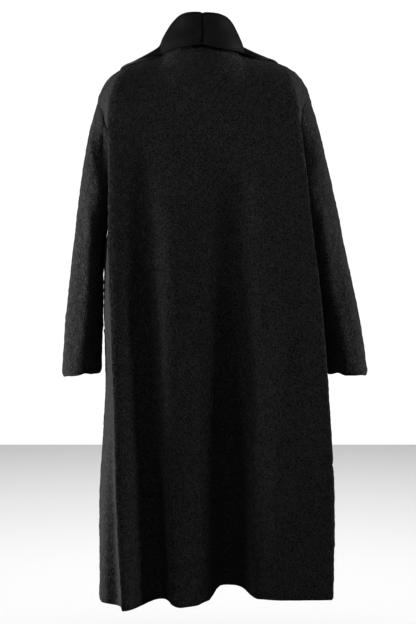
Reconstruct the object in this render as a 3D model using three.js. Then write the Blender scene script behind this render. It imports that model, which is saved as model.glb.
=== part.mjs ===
// A long black boucle coat in its worn shape, hollow and open down the front.
// Millimetres, +Z up. The front faces -Y and the back +Y, and the wearer's left is +X.
// The origin is the base of the neck between the shoulders, where the coat is carried.
import * as THREE from "three";

// Cloth
const CLOTH = 3; // thickness of the boucle and of the collar's cloth
const SEAM_GAP = 0.3; // between two pieces that are sewn together
const BOUCLE = { color: 0x17171a, roughness: 0.95, metalness: 0 };
const SMOOTH = { color: 0x101013, roughness: 0.7, metalness: 0 };

// Heights, from the neck base down
const HEM = -1200;
const UNDERARM = -330;
const YOKE = -165; // the cloth starts to turn over the shoulders here
const YOKE_SHARE = 0.76; // share of a panel's rows below the yoke

// Neck opening of the cut
const NECK_HALF = 75;
const NECK_BACK = 62;
const NECK_SIDE_Z = -8;
const BACK_STEPS = [10, 5, 2, 2, 3, 3]; // columns between the back's control points
const NECK_STEPS = BACK_STEPS[0]; // the neck takes the innermost of them
const NECK_SHARE = 1 / BACK_STEPS.length;
const SHOULDER_PULL = 2.8; // above 0 draws the back's columns out along the shoulder line

// Armholes
const ARMHOLE_DEPTH = 66; // from the side to the armhole's back and front
const ARMHOLE_HOLLOW = 13; // how far it curves in towards the body there
const FOLD_ROLL = 9; // radius of the fold down each side of the back

// Sections of the body, hem to yoke. fold is where the back's side fold stands, then come the
// hollow behind it, the second fold and the side seam. The Y columns are how far each stands
// behind the plane of the side seams.
const SECTIONS = {
  left: [
    { z: -1200, fold: 171, foldY: 149, hollow: 181, hollowY: 110, second: 219, secondY: 97, side: 226 },
    { z: -980, fold: 182, foldY: 148, hollow: 188, hollowY: 108, second: 212, secondY: 86, side: 228 },
    { z: -760, fold: 186, foldY: 144, hollow: 191, hollowY: 104, second: 201, secondY: 66, side: 213 },
    { z: -560, fold: 193, foldY: 138, hollow: 197, hollowY: 98, second: 208, secondY: 60, side: 215.5 },
    { z: -430, fold: 196, foldY: 134, hollow: 197, hollowY: 95, second: 204, secondY: 56, side: 211 },
    { z: -330, fold: 195, foldY: 130, hollow: 190, hollowY: 92, second: 187, secondY: 52, side: 190 },
    { z: -250, fold: 195, foldY: 125, hollow: 187, hollowY: 98, second: 181, secondY: 76, side: 186 },
    { z: -165, fold: 198, foldY: 113, hollow: 204, hollowY: 86, second: 207, secondY: 69, side: 200 },
  ],
  right: [
    { z: -1200, fold: 276, foldY: 112, hollow: 275, hollowY: 75, second: 272, secondY: 42, side: 264 },
    { z: -980, fold: 277, foldY: 118, hollow: 276, hollowY: 80, second: 276, secondY: 45, side: 268 },
    { z: -760, fold: 264, foldY: 124, hollow: 263, hollowY: 85, second: 260, secondY: 48, side: 251 },
    { z: -560, fold: 248, foldY: 128, hollow: 247, hollowY: 88, second: 241, secondY: 50, side: 233 },
    { z: -430, fold: 232, foldY: 129, hollow: 229, hollowY: 90, second: 220, secondY: 52, side: 210 },
    { z: -330, fold: 220, foldY: 128, hollow: 208, hollowY: 92, second: 194, secondY: 52, side: 191 },
    { z: -250, fold: 211, foldY: 124, hollow: 196, hollowY: 98, second: 184, secondY: 76, side: 187 },
    { z: -165, fold: 201, foldY: 113, hollow: 206, hollowY: 86, second: 209, secondY: 69, side: 202 },
  ],
};
// The back's middle, which both sides share
const BACK_MIDDLE = [
  { z: -1200, y: 118 },
  { z: -980, y: 124 },
  { z: -760, y: 130 },
  { z: -560, y: 134 },
  { z: -430, y: 133 },
  { z: -330, y: 129 },
  { z: -250, y: 124 },
  { z: -165, y: 114 },
];
// The fronts: where their corner is, how far forward they stand, and half of their parting
const FRONT_SECTIONS = {
  left: [
    { z: -1200, corner: 214, frontY: 150, edge: 32 },
    { z: -980, corner: 216, frontY: 150, edge: 25 },
    { z: -760, corner: 204, frontY: 146, edge: 19 },
    { z: -560, corner: 198, frontY: 140, edge: 16 },
    { z: -430, corner: 194, frontY: 136, edge: 28 },
    { z: -330, corner: 182, frontY: 131, edge: 42 },
    { z: -250, corner: 176, frontY: 124, edge: 52 },
    { z: -165, corner: 172, frontY: 110, edge: 64 },
  ],
  right: [
    { z: -1200, corner: 236, frontY: 146, edge: 27 },
    { z: -980, corner: 238, frontY: 146, edge: 22 },
    { z: -760, corner: 228, frontY: 143, edge: 18 },
    { z: -560, corner: 212, frontY: 138, edge: 16 },
    { z: -430, corner: 198, frontY: 135, edge: 28 },
    { z: -330, corner: 182, frontY: 131, edge: 42 },
    { z: -250, corner: 176, frontY: 124, edge: 52 },
    { z: -165, corner: 172, frontY: 110, edge: 64 },
  ],
};

// The shoulder line, from the neck to the armhole seam at its top
const SHOULDERS = {
  left: [
    { share: 0, x: 75, z: -8 },
    { share: 0.38, x: 137, z: -37 },
    { share: 0.62, x: 176, z: -54 },
    { share: 0.82, x: 206, z: -77 },
    { share: 0.92, x: 220, z: -101 },
    { share: 1, x: 229, z: -125 },
  ],
  right: [
    { share: 0, x: 75, z: -8 },
    { share: 0.38, x: 137, z: -33 },
    { share: 0.62, x: 178, z: -47 },
    { share: 0.82, x: 208, z: -69 },
    { share: 0.92, x: 223, z: -91 },
    { share: 1, x: 233, z: -112 },
  ],
};

// Hanging folds: where each runs at the hem and at its top, how wide it is towards plus X and
// minus X, the flat share of its bottom, how deep it is, and its heights where faded and full.
const BACK_FOLDS = [
  {
    at: "left trough",
    hemX: 112, topX: 130, plus: 62, minus: 56, flat: 0, deep: 30, faded: -170, full: -900,
  },
  {
    at: "ridge wall",
    hemX: 84, topX: 92, plus: 56, minus: 18, flat: 0, deep: 22, faded: -800, full: -1200,
  },
  {
    at: "centre hollow",
    hemX: -52, topX: -58, plus: 112, minus: 120, flat: 0, deep: 34, faded: -180, full: -900,
  },
  {
    at: "centre groove",
    hemX: -56, topX: -58, plus: 46, minus: 60, flat: 0.22, deep: 46, faded: -480, full: -1200,
  },
];
const FRONT_FOLDS = [
  {
    at: "left front fall",
    hemX: 148, topX: 120, plus: 46, minus: 60, flat: 0, deep: 44, faded: -420, full: -1200,
  },
  {
    at: "left edge fall",
    hemX: 66, topX: 74, plus: 34, minus: 32, flat: 0, deep: 20, faded: -640, full: -1200,
  },
  {
    at: "right front fall",
    hemX: -118, topX: -96, plus: 50, minus: 54, flat: 0, deep: 50, faded: -480, full: -1200,
  },
  {
    at: "right side fall",
    hemX: -196, topX: -150, plus: 34, minus: 36, flat: 0, deep: 22, faded: -560, full: -1200,
  },
];
// How the hem rises and dips from its level
const HEM_TURNS = [
  { at: "left side dip", x: 162, plus: 62, minus: 60, flat: 0, rise: -7 },
  { at: "trough rise", x: 76, plus: 48, minus: 12, flat: 0, rise: 6 },
  { at: "ridge dip", x: 32, plus: 38, minus: 44, flat: 0.4, rise: -7 },
  { at: "groove rise", x: -56, plus: 44, minus: 66, flat: 0.4, rise: 21 },
  { at: "right rise", x: -195, plus: 110, minus: 130, flat: 0.6, rise: 7 },
];
const HEM_REACH = 240; // height over which those turns fade

// Sleeves: the outer and inner edge seen from behind, the middle's Y and half the depth
const SLEEVES = {
  left: [
    { t: 0, outX: 231, outZ: -124, inX: 194, inZ: -330, midY: 0, deep: 66 },
    { t: 0.16, outX: 249, outZ: -206, inX: 204, inZ: -372, midY: 0, deep: 67 },
    { t: 0.36, outX: 267, outZ: -320, inX: 215.5, inZ: -432, midY: -2, deep: 64 },
    { t: 0.56, outX: 283, outZ: -446, inX: 220, inZ: -510, midY: -6, deep: 60 },
    { t: 0.76, outX: 298, outZ: -568, inX: 221, inZ: -594, midY: -12, deep: 56 },
    { t: 0.91, outX: 307, outZ: -664, inX: 225, inZ: -670, midY: -18, deep: 53 },
    { t: 1, outX: 310, outZ: -719, inX: 227, inZ: -713, midY: -21, deep: 52 },
  ],
  right: [
    { t: 0, outX: 236, outZ: -109, inX: 196, inZ: -330, midY: 0, deep: 66 },
    { t: 0.16, outX: 259, outZ: -212, inX: 212, inZ: -374, midY: 0, deep: 67 },
    { t: 0.36, outX: 286, outZ: -326, inX: 228, inZ: -434, midY: -2, deep: 64 },
    { t: 0.56, outX: 312, outZ: -450, inX: 243, inZ: -512, midY: -6, deep: 60 },
    { t: 0.76, outX: 339, outZ: -568, inX: 257, inZ: -596, midY: -12, deep: 56 },
    { t: 0.91, outX: 356, outZ: -662, inX: 269, inZ: -672, midY: -18, deep: 53 },
    { t: 1, outX: 363, outZ: -716, inX: 274, inZ: -715, midY: -21, deep: 52 },
  ],
};
const SLEEVE_CREASE = { angle: 1.62, wide: 0.36, depth: 6, from: 0.6 }; // down the back to the cuff
const SLEEVE_SQUARE = 0.14; // above 0 makes the sleeve's section boxier
const SLEEVE_BLEND = 0.16; // share of the sleeve over which it leaves the armhole's outline

// Shawl collar, centre back to break point. q runs along the neck seam, 0 to 1 on the back's
// neck and 1 to 2 down the front's edge. The roll lies lean and rise from the seam. The free edge
// lies lift above the panel, at a height and a reach from the seam as a share of the shoulder.
// Heights are shares of a panel's: 1 is the shoulder line, and above 1 is that far down the back.
const COLLARS = {
  left: [
    { q: 0, lean: -14, rise: 60, reach: 0, height: 1.064, lift: 12 },
    { q: 0.25, lean: -13, rise: 60, reach: 0.08, height: 1.072, lift: 11 },
    { q: 0.5, lean: -2, rise: 48, reach: 0.195, height: 1.082, lift: 9.5 },
    { q: 0.75, lean: -4, rise: 26, reach: 0.37, height: 1.071, lift: 7.5 },
    { q: 1, lean: -6, rise: 13, reach: 0.595, height: 1, lift: 4.4 },
    { q: 1.16, lean: -5, rise: 12, reach: 0.7, height: 0.87, lift: 8 },
    { q: 1.4, lean: -3, rise: 12, reach: 0.72, height: 0.735, lift: 9 },
    { q: 1.7, lean: -3, rise: 10, reach: 0.48, height: 0.62, lift: 9 },
    { q: 2, lean: -4, rise: 8, reach: 0.14, height: 0.535, lift: 8 },
  ],
  right: [
    { q: 0, lean: -14, rise: 60, reach: 0, height: 1.064, lift: 12 },
    { q: 0.25, lean: -12, rise: 58, reach: 0.053, height: 1.079, lift: 11 },
    { q: 0.5, lean: -2, rise: 46, reach: 0.171, height: 1.081, lift: 9.5 },
    { q: 0.75, lean: -3, rise: 17, reach: 0.342, height: 1.074, lift: 7 },
    { q: 1, lean: -4, rise: 9, reach: 0.485, height: 1, lift: 4.4 },
    { q: 1.16, lean: -4, rise: 12, reach: 0.66, height: 0.87, lift: 8 },
    { q: 1.4, lean: -3, rise: 12, reach: 0.7, height: 0.735, lift: 9 },
    { q: 1.7, lean: -3, rise: 10, reach: 0.48, height: 0.62, lift: 9 },
    { q: 2, lean: -4, rise: 8, reach: 0.14, height: 0.535, lift: 8 },
  ],
};
const COLLAR_ROLL = 8; // half width of the roll at its top
const COLLAR_ROWS = 9; // rows of the front below the break point

// Patch pockets, between columns and rows of the front panel, and how far the mouth stands off
const POCKET = { nearColumn: 1, farColumn: 10, bottomRow: 5, topRow: 8, stand: 3.4 };

// Rows and columns of each wall
const SKIRT_ROWS = 12; // below the underarm
const FRONT_STEPS = [3, 3, 3, 4, 3];
const SLEEVE_GRID = { rows: 15, around: 24 }; // the body has half as many rows up the armhole
const COLLAR_ACROSS = 11; // from the seam to the free edge

const clamp = (value) => Math.min(1, Math.max(0, value));
const smooth = (value) => clamp(value) ** 2 * (3 - 2 * clamp(value));
const mix = (a, b, share) => a + (b - a) * share;

// One column of a table at a place, on a smooth curve through the rows and straight past the ends.
function lookUp(table, key, column, place) {
  const rising = table[0][key] < table[table.length - 1][key];
  const rows = rising ? table : [...table].reverse();
  let i = 0;
  while (i < rows.length - 2 && place > rows[i + 1][key]) i += 1;
  const slope = (a, b) => (rows[b][column] - rows[a][column]) / (rows[b][key] - rows[a][key]);
  const tangent = (k) => slope(Math.max(0, k - 1), Math.min(rows.length - 1, k + 1));
  const [from, to] = [rows[i], rows[i + 1]];
  const span = to[key] - from[key];
  const t = (place - from[key]) / span;
  if (t < 0) return from[column] + tangent(i) * (place - from[key]);
  if (t > 1) return to[column] + tangent(i + 1) * (place - to[key]);
  const bend = (2 * t - 3) * t * t;
  return (
    from[column] * (1 + bend) -
    to[column] * bend +
    span * t * (t - 1) * (tangent(i) * (t - 1) + tangent(i + 1) * t)
  );
}

// A smooth curve through points, with u counting points from 0.
function curveThrough(points, u) {
  const i = Math.min(points.length - 2, Math.max(0, Math.floor(u)));
  const t = u - i;
  const at = (k) => points[Math.min(points.length - 1, Math.max(0, k))];
  const [a, b, c, d] = [at(i - 1), at(i), at(i + 1), at(i + 2)];
  const before = i === 0 ? b.clone().multiplyScalar(2).sub(c) : a;
  const after = i === points.length - 2 ? c.clone().multiplyScalar(2).sub(b) : d;
  const blend = (p, q, r, s) =>
    q + 0.5 * t * (r - p + t * (2 * p - 5 * q + 4 * r - s + t * (3 * (q - r) + s - p)));
  return new THREE.Vector3(
    blend(before.x, b.x, c.x, after.x),
    blend(before.y, b.y, c.y, after.y),
    blend(before.z, b.z, c.z, after.z),
  );
}

const sideOf = (sign) => (sign > 0 ? "left" : "right");

// How deep the hanging folds are at a place.
function foldDepth(folds, x, z) {
  let depth = 0;
  for (const fold of folds) {
    const middle = mix(fold.hemX, fold.topX, clamp((z - HEM) / (fold.faded - HEM)));
    const off = x - middle;
    const share = Math.abs(off) / (off > 0 ? fold.plus : fold.minus);
    const grown = smooth((fold.faded - z) / (fold.faded - fold.full));
    depth += fold.deep * grown * (1 - smooth((share - fold.flat) / (1 - fold.flat)));
  }
  return depth;
}

function hemTurn(x, z) {
  const near = smooth(1 - (z - HEM) / HEM_REACH);
  return HEM_TURNS.reduce((rise, turn) => {
    const share = Math.abs(x - turn.x) / (x > turn.x ? turn.plus : turn.minus);
    return rise + turn.rise * near * (1 - smooth((share - turn.flat) / (1 - turn.flat)));
  }, 0);
}

// The side seam, and above the underarm the armhole's edge. facing is 1 at the back, -1 in front.
function seamAt(sign, z, facing) {
  const tip = SHOULDERS[sideOf(sign)].at(-1);
  const side = lookUp(SECTIONS[sideOf(sign)], "z", "side", Math.min(z, UNDERARM));
  if (z <= UNDERARM) return new THREE.Vector3(sign * side, (facing * SEAM_GAP) / 2, z);
  const middle = (tip.z + UNDERARM) / 2;
  const round = Math.sqrt(Math.max(0, 1 - ((z - middle) / (tip.z - middle)) ** 2));
  const up = (z - UNDERARM) / (tip.z - UNDERARM);
  const x = mix(side, tip.x, up ** 1.6) - ARMHOLE_HOLLOW * round ** 2;
  return new THREE.Vector3(sign * x, facing * (ARMHOLE_DEPTH * round + SEAM_GAP / 2), z);
}

// Control points of half a section: the back from its middle to the seam, and the front from
// the seam to its edge.
function backControls(sign, z) {
  const get = (column) => lookUp(SECTIONS[sideOf(sign)], "z", column, z);
  const midY = lookUp(BACK_MIDDLE, "z", "y", z);
  const [fold, foldY] = [get("fold"), get("foldY")];
  const at = (x, y) => new THREE.Vector3(sign * x, y, z);
  return [
    at(0, midY),
    at(0.48 * fold, mix(midY, foldY, 0.42)),
    at(fold - FOLD_ROLL, foldY),
    at(fold, foldY - FOLD_ROLL * 0.75),
    at(get("hollow"), get("hollowY")),
    at(get("second"), get("secondY")),
    seamAt(sign, z, 1),
  ];
}

function frontControls(sign, z) {
  const get = (column) => lookUp(FRONT_SECTIONS[sideOf(sign)], "z", column, z);
  const [corner, frontY, edge] = [get("corner"), get("frontY"), get("edge")];
  const seam = seamAt(sign, z, -1);
  const at = (x, y) => new THREE.Vector3(sign * x, y, z);
  return [
    seam,
    at(mix(Math.abs(seam.x), corner, 0.35), mix(seam.y, -frontY, 0.46)),
    at(corner, mix(seam.y, -frontY, 0.86)),
    at(mix(corner, edge, 0.26), -frontY),
    at(mix(corner, edge, 0.64), -frontY - 5),
    at(edge, -frontY - 2),
  ];
}

// A back section ends on the front's first point, and the other way round, where the side seam
// joins them, so the cloth runs smoothly across the seam.
function backSection(sign, u, z) {
  const [back, front] = [backControls(sign, z), frontControls(sign, z)];
  const parted = smooth((z - UNDERARM) / 60);
  const beyond = front[1].clone().lerp(back[6].clone().multiplyScalar(2).sub(back[5]), parted);
  const across = back[1].clone().setX(-back[1].x);
  return curveThrough([across, ...back, beyond], u + 1);
}

function frontSection(sign, u, z) {
  const [back, front] = [backControls(sign, z), frontControls(sign, z)];
  const parted = smooth((z - UNDERARM) / 60);
  const before = back[5].clone().lerp(front[0].clone().multiplyScalar(2).sub(front[1]), parted);
  return curveThrough([before, ...front], u + 1);
}

const heightOf = (h) => mix(HEM, YOKE, h / YOKE_SHARE);
const turnOf = (h) => ((h - YOKE_SHARE) / (1 - YOKE_SHARE)) * (Math.PI / 2);

// Over the shoulder a panel turns along a quarter of an oval up to its top edge.
function overShoulder(base, top, h) {
  const turn = turnOf(h);
  return new THREE.Vector3(
    mix(base.x, top.x, Math.sin(turn) ** 2),
    mix(top.y, base.y, Math.cos(turn)),
    mix(base.z, top.z, Math.sin(turn)),
  );
}

function shoulderLine(sign, share, facing) {
  const table = SHOULDERS[sideOf(sign)];
  return new THREE.Vector3(
    sign * lookUp(table, "share", "x", share),
    (facing * SEAM_GAP) / 2,
    lookUp(table, "share", "z", share),
  );
}

// The share of the shoulder line at a share of the back's columns outside the neck, and the
// other way round.
const lineAt = (column) => (column * (1 + SHOULDER_PULL)) / (1 + SHOULDER_PULL * column);
const columnAt = (line) => line / (1 + SHOULDER_PULL * (1 - line));

function backTop(sign, share) {
  if (share > NECK_SHARE)
    return shoulderLine(sign, lineAt((share - NECK_SHARE) / (1 - NECK_SHARE)), 1);
  const turn = (share / NECK_SHARE) * (Math.PI / 2);
  const low = NECK_SIDE_Z * (1 - Math.cos(turn));
  const y = NECK_BACK * Math.cos(turn) + SEAM_GAP / 2;
  return new THREE.Vector3(sign * NECK_HALF * Math.sin(turn), y, low);
}

// Points of the panels. share runs over half the back from its middle to the seam, or over a
// front from the seam to its edge, and h from the hem to the top.
function backPoint(sign, share, h) {
  const z = Math.min(heightOf(h), YOKE);
  const point = backSection(sign, share * BACK_STEPS.length, z);
  point.y -= foldDepth(BACK_FOLDS, point.x, z);
  point.z += hemTurn(point.x, z);
  return h > YOKE_SHARE ? overShoulder(point, backTop(sign, share), h) : point;
}

function frontPoint(sign, share, h) {
  const z = Math.min(heightOf(h), YOKE);
  const point = frontSection(sign, share * FRONT_STEPS.length, z);
  point.y += foldDepth(FRONT_FOLDS, point.x, z);
  point.z += hemTurn(point.x, z) * 0.5;
  return h > YOKE_SHARE ? overShoulder(point, shoulderLine(sign, 1 - share, -1), h) : point;
}

// The outward normal of a surface, found from points close by.
function normalOf(surface, u, v) {
  const near = 1e-3;
  const alongU = surface(u + near, v).sub(surface(u - near, v));
  const alongV = surface(u, v + near).sub(surface(u, v - near));
  return alongU.cross(alongV).normalize();
}

// A closed wall of cloth about a surface. us and vs are the steps, and a tube joins up in u.
function wall(surface, us, vs, tube = false) {
  const columns = tube ? us.slice(0, -1) : us;
  const layers = [1, -1].map((side) =>
    vs.map((v) =>
      columns.map((u) => surface(u, v).addScaledVector(normalOf(surface, u, v), (side * CLOTH) / 2)),
    ),
  );
  const [wide, high] = [columns.length, vs.length];
  const positions = layers.flat(2).flatMap((p) => [p.x, p.y, p.z]);
  const index = [];
  const id = (layer, j, i) => layer * wide * high + j * wide + (i % wide);
  const quad = (a, b, c, d) => index.push(a, b, c, a, c, d);
  const spans = tube ? wide : wide - 1;
  for (let j = 0; j < high - 1; j += 1)
    for (let i = 0; i < spans; i += 1) {
      quad(id(0, j, i), id(0, j, i + 1), id(0, j + 1, i + 1), id(0, j + 1, i));
      quad(id(1, j, i), id(1, j + 1, i), id(1, j + 1, i + 1), id(1, j, i + 1));
    }
  for (let i = 0; i < spans; i += 1) {
    quad(id(0, 0, i), id(1, 0, i), id(1, 0, i + 1), id(0, 0, i + 1));
    const last = high - 1;
    quad(id(0, last, i), id(0, last, i + 1), id(1, last, i + 1), id(1, last, i));
  }
  if (!tube)
    for (let j = 0; j < high - 1; j += 1) {
      quad(id(0, j, 0), id(0, j + 1, 0), id(1, j + 1, 0), id(1, j, 0));
      const end = wide - 1;
      quad(id(0, j, end), id(1, j, end), id(1, j + 1, end), id(0, j + 1, end));
    }
  const geometry = new THREE.BufferGeometry();
  geometry.setAttribute("position", new THREE.Float32BufferAttribute(positions, 3));
  geometry.setIndex(index);
  geometry.computeVertexNormals();
  return geometry;
}

const evenSteps = (count, from = 0, to = 1) =>
  Array.from({ length: count + 1 }, (_, i) => mix(from, to, i / count));

// Shares of a panel's width, with the given number of steps between its control points.
const widthSteps = (steps) => [
  0,
  ...steps.flatMap((count, part) => evenSteps(count, part, part + 1).slice(1)),
].map((u) => u / steps.length);

// Heights of the rows, closest at the underarm and the shoulder, as the sleeve's points are.
const UNDERARM_SHARE = ((UNDERARM - HEM) / (YOKE - HEM)) * YOKE_SHARE;
const COLLAR_END = (UNDERARM_SHARE * COLLAR_ROWS) / SKIRT_ROWS; // the break point
const armholeShare = (angle) => mix(UNDERARM_SHARE, 1, (1 + Math.cos(angle)) / 2);
const bodyRows = () => [
  ...evenSteps(SKIRT_ROWS, 0, UNDERARM_SHARE),
  ...evenSteps(SLEEVE_GRID.around / 2, Math.PI, 0).slice(1).map(armholeShare),
];

function backPanel() {
  const half = widthSteps(BACK_STEPS);
  const across = [...half.slice(1).reverse().map((share) => -share), ...half];
  // From the left seam to the right one, so that the outside faces +Y.
  const surface = (u, v) => backPoint(u < 0 ? 1 : -1, Math.abs(u), v);
  return wall(surface, across, bodyRows());
}

// A surface on a front panel, turned so that its outside faces forward on either side.
const onFront = (sign, point) => (u, v) => point(sign, sign > 0 ? 1 - u : u, v);
const turned = (sign, steps) => (sign > 0 ? steps.map((u) => 1 - u).reverse() : steps);

function frontPanel(sign) {
  return wall(onFront(sign, frontPoint), turned(sign, widthSteps(FRONT_STEPS)), bodyRows());
}

// The armhole as the sleeve meets it. angle is 0 at the shoulder's tip, a quarter turn at the
// back and half a turn at the underarm.
function armholePoint(sign, angle) {
  const h = armholeShare(angle);
  return Math.sin(angle) >= 0 ? backPoint(sign, 1, h) : frontPoint(sign, 0, h);
}

function sleeveRing(sign, angle, t) {
  const get = (column) => lookUp(SLEEVES[sideOf(sign)], "t", column, t);
  const square = (value) => value * (1 + SLEEVE_SQUARE * (1 - value * value));
  const along = (1 + square(Math.cos(angle))) / 2;
  const turn = Math.atan2(Math.sin(angle), Math.cos(angle));
  const off = Math.abs(turn - SLEEVE_CREASE.angle) / SLEEVE_CREASE.wide;
  const grown = smooth((t - SLEEVE_CREASE.from) / (1 - SLEEVE_CREASE.from));
  const crease = SLEEVE_CREASE.depth * grown * (1 - smooth(off));
  return new THREE.Vector3(
    sign * mix(get("inX"), get("outX"), along),
    get("midY") + get("deep") * square(Math.sin(angle)) - crease,
    mix(get("inZ"), get("outZ"), along),
  );
}

// The sleeve starts along the armhole, a seam away from it at the shoulder and lying beside the
// body's wall at the underarm, and then follows its own rings.
function sleevePoint(sign, angle, t) {
  const under = (1 - Math.cos(angle)) / 2;
  const start = armholePoint(sign, angle);
  start.x += sign * mix(CLOTH / 2, CLOTH + SEAM_GAP, smooth(under * 2.5));
  start.z -= mix(CLOTH / 2, 0, under);
  const leave = smooth(1 - t / SLEEVE_BLEND);
  return sleeveRing(sign, angle, t).addScaledVector(start.sub(sleeveRing(sign, angle, 0)), leave);
}

function sleeve(sign) {
  const surface = (u, v) => sleevePoint(sign, sign * u * 2 * Math.PI, 1 - v);
  return wall(surface, evenSteps(SLEEVE_GRID.around), evenSteps(SLEEVE_GRID.rows), true);
}

// The neck seam, on the back's neck and then down the front's edge.
function neckEdge(sign, q) {
  if (q <= 1) return backPoint(sign, q * NECK_SHARE, 1);
  return frontPoint(sign, 1, mix(1, COLLAR_END, q - 1));
}

// The panel that a place on the collar lies over, at a reach from the neck seam.
function panelPoint(sign, q, reach, h) {
  const height = Math.min(h, 1);
  if (q > 1) return frontPoint(sign, 1 - reach, height);
  return backPoint(sign, q * NECK_SHARE + columnAt(reach) * (1 - NECK_SHARE), height);
}

function panelNormal(sign, q, reach, h) {
  const surface = (u, v) => panelPoint(sign, q, u, v);
  return normalOf(surface, reach, Math.min(h, 0.998)).multiplyScalar(q > 1 ? sign : -sign);
}

// A place on the collar: up from the seam, over the roll, and down over the panel to the free
// edge. Past the centre back it is its own mirror image, so that its end there is flat.
function collarPoint(sign, q, share) {
  if (q < 0) {
    const mirrored = collarPoint(sign, -q, share);
    return mirrored.setX(sign * SEAM_GAP - mirrored.x);
  }
  const get = (column) => lookUp(COLLARS[sideOf(sign)], "q", column, q);
  const edge = neckEdge(sign, q);
  const seamHeight = q > 1 ? mix(1, COLLAR_END, q - 1) : 1;
  const up = panelNormal(sign, q, 0, seamHeight);
  const run = neckEdge(sign, q + 1e-3).sub(neckEdge(sign, q - 1e-3));
  const off = run.cross(up).normalize().multiplyScalar(sign); // off the panel's edge
  const place = (offEdge, rise) =>
    edge.clone().addScaledVector(off, offEdge).addScaledVector(up, rise);
  const [lean, rise, lift] = [get("lean"), get("rise"), get("lift")];
  const start = CLOTH / 2 + SEAM_GAP;
  const roll = Math.min(COLLAR_ROLL, rise * 0.55);
  const over = (down) => {
    const [reach, height] = [get("reach") * down, mix(seamHeight, get("height"), down)];
    const h = q > 1 ? height : 2 - height;
    const stand = mix(rise - roll / 2, lift, down ** 0.7);
    return panelPoint(sign, q, reach, h).addScaledVector(panelNormal(sign, q, reach, h), stand);
  };
  const points = [
    place(start, -CLOTH / 2),
    place(start + lean * 0.3 + roll * 0.4, rise * 0.45),
    place(start + lean + roll, rise - roll * 0.6),
    place(start + lean, rise),
    place(start + lean - roll, rise - roll * 0.6),
    over(0.4),
    over(0.7),
    over(1),
  ];
  const point = curveThrough(points, share * (points.length - 1));
  point.x += (sign * SEAM_GAP) / 2;
  return point;
}

// Its steps along the seam are the back's columns and then the front's rows.
function collar(sign) {
  const down = bodyRows().slice(COLLAR_ROWS).reverse();
  const along = [
    ...evenSteps(NECK_STEPS),
    ...down.slice(1).map((h) => 1 + (1 - h) / (1 - COLLAR_END)),
  ];
  const surface = (u, v) => collarPoint(sign, sign > 0 ? 2 - u : u, v);
  const steps = sign > 0 ? along.map((q) => 2 - q).reverse() : along;
  return wall(surface, steps, evenSteps(COLLAR_ACROSS));
}

// A patch pocket lies on the front panel, on the panel's own points moved out. It is sewn down
// at its sides and bottom, and its mouth stands off a little.
function pocket(sign) {
  const columns = widthSteps(FRONT_STEPS).slice(POCKET.nearColumn, POCKET.farColumn + 1);
  const rows = bodyRows().slice(POCKET.bottomRow, POCKET.topRow + 1);
  const [near, far, bottom, top] = [columns[0], columns.at(-1), rows[0], rows.at(-1)];
  const point = (side, share, h) => {
    const out = normalOf((u, v) => frontPoint(side, u, v), share, h).multiplyScalar(-side);
    const across = clamp((share - near) / (far - near));
    const stand = POCKET.stand * smooth((h - bottom) / (top - bottom)) * Math.sin(Math.PI * across);
    return frontPoint(side, share, h).addScaledVector(out, CLOTH + SEAM_GAP + stand);
  };
  return wall(onFront(sign, point), turned(sign, columns), rows);
}

const parts = new THREE.Group();
function add(name, geometry, finish) {
  const mesh = new THREE.Mesh(geometry, new THREE.MeshStandardMaterial(finish));
  mesh.name = name;
  parts.add(mesh);
}

add("back", backPanel(), BOUCLE);
for (const sign of [1, -1]) {
  add(`front_${sideOf(sign)}`, frontPanel(sign), BOUCLE);
  add(`sleeve_${sideOf(sign)}`, sleeve(sign), BOUCLE);
  add(`pocket_${sideOf(sign)}`, pocket(sign), BOUCLE);
  add(`collar_${sideOf(sign)}`, collar(sign), SMOOTH);
}

export default parts;
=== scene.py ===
import functools
import math

import bmesh
import bpy
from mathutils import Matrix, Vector, noise


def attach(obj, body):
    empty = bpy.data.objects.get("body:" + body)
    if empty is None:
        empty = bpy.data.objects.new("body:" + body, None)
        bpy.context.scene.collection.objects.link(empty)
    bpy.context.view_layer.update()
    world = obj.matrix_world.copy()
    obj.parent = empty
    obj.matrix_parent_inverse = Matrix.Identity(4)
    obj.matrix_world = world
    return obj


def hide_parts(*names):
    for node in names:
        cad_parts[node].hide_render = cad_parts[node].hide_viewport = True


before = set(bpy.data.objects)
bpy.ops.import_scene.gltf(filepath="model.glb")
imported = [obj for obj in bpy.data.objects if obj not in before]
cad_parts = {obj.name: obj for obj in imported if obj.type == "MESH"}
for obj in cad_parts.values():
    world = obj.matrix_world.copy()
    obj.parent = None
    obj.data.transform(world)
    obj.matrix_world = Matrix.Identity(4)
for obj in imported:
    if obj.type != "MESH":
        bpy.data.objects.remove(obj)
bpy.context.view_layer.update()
scene = bpy.context.scene
metre = 0.001  # of a millimetre


def rows(columns, *lines):
    names = columns.split()
    return [dict(zip(names, line)) for line in lines]


# The view of the photograph, which is 416 by 624 pixels

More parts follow.
